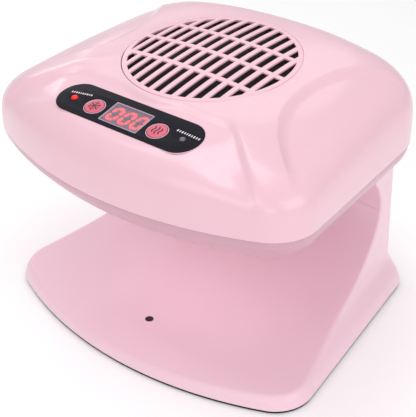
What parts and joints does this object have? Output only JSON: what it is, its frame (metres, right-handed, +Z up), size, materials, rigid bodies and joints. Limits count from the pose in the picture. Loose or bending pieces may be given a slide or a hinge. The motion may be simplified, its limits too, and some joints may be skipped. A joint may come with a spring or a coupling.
{
  "type": "nail dryer",
  "caption": "Tabletop hand and nail dryer: a pillow-shaped fan head on a rear column over an open tray, with a round inlet grille and a control panel.",
  "frame": {"origin": "on the resting plane, under the middle of the overall box", "axes": "+X to the right of a user who faces the open side, +Y to the rear column, +Z up"},
  "size_m": [0.2418, 0.2116, 0.1816],
  "materials": {
    "shell_pink": "moulded gloss",
    "grille_pink": "moulded gloss",
    "overlay_navy": "printed gloss film",
    "window_lilac": "tinted clear plastic",
    "segment_red": "lit segment",
    "button_coral": "moulded satin",
    "lamp_red": "clear lamp",
    "lamp_grey": "clear lamp",
    "base_black": "fine texture",
    "foot_rubber": "matt",
    "sensor_dark": "dark filter plastic",
    "gland_black": "fine texture",
    "fan_grey": "moulded",
    "fan_black": "moulded",
    "motor_steel": "zinc plated",
    "shaft_steel": "ground",
    "bush_bronze": "sintered",
    "magnet_dark": "ferrite",
    "armature_copper": "enamelled windings",
    "screen_black": "woven mesh",
    "mica_card": "pressed mica",
    "heater_wire": "resistance wire",
    "board_green": "solder mask",
    "component_black": "moulded case",
    "component_blue": "sleeved",
    "terminal_green": "moulded",
    "switch_steel": "stamped",
    "screw_zinc": "zinc plated"
  },
  "bodies": {
    "root": {"top_cover": "shell_pink", "head_underside": "shell_pink", "body_shell": "shell_pink", "inlet_grille": "grille_pink", "outlet_grille": "grille_pink", "dust_screen": "screen_black", "panel_overlay": "overlay_navy", "display_window": "window_lilac", "display_segments": "segment_red", "display_module": "component_black", "cool_led": "lamp_red", "hot_led": "lamp_grey", "cool_switch": "switch_steel", "hot_switch": "switch_steel", "control_board": "board_green", "base_plate": "base_black", "rubber_feet": "foot_rubber", "sensor_lens": "sensor_dark", "sensor_module": "component_black", "cord_gland": "gland_black", "fan_frame": "fan_grey", "fan_motor": "motor_steel", "motor_bushes": "bush_bronze", "motor_magnets": "magnet_dark", "heater_frame": "mica_card", "heater_coil": "heater_wire", "thermal_cutout": "motor_steel", "power_board": "board_green", "filter_capacitor": "component_blue", "power_relay": "component_blue", "terminal_block": "terminal_green", "fan_driver": "component_black", "base_screws": "screw_zinc", "top_screws": "screw_zinc", "column_screws": "screw_zinc", "fan_screws": "screw_zinc", "motor_screws": "screw_zinc", "board_screws": "screw_zinc", "power_board_screws": "screw_zinc"},
    "cool_button": {"cool_button": "button_coral", "cool_plunger": "component_black"},
    "hot_button": {"hot_button": "button_coral", "hot_plunger": "component_black"},
    "rotor": {"fan_impeller": "fan_black", "motor_shaft": "shaft_steel", "motor_armature": "armature_copper", "impeller_nut": "bush_bronze"}
  },
  "joints": [
    {"name": "cool_press", "type": "slide", "parent": "root", "child": "cool_button", "axis": [0, 0.2147, -0.9767], "range_m": [0, 0.0007], "stiffness_N_per_m": 1200, "springref_m": -0.0005},
    {"name": "hot_press", "type": "slide", "parent": "root", "child": "hot_button", "axis": [0, 0.2147, -0.9767], "range_m": [0, 0.0007], "stiffness_N_per_m": 1200, "springref_m": -0.0005},
    {"name": "fan_spin", "type": "hinge", "parent": "root", "child": "rotor", "pos_m": [0, 0.003, 0.15], "axis": [0, 0, 1], "continuous": true}
  ]
}
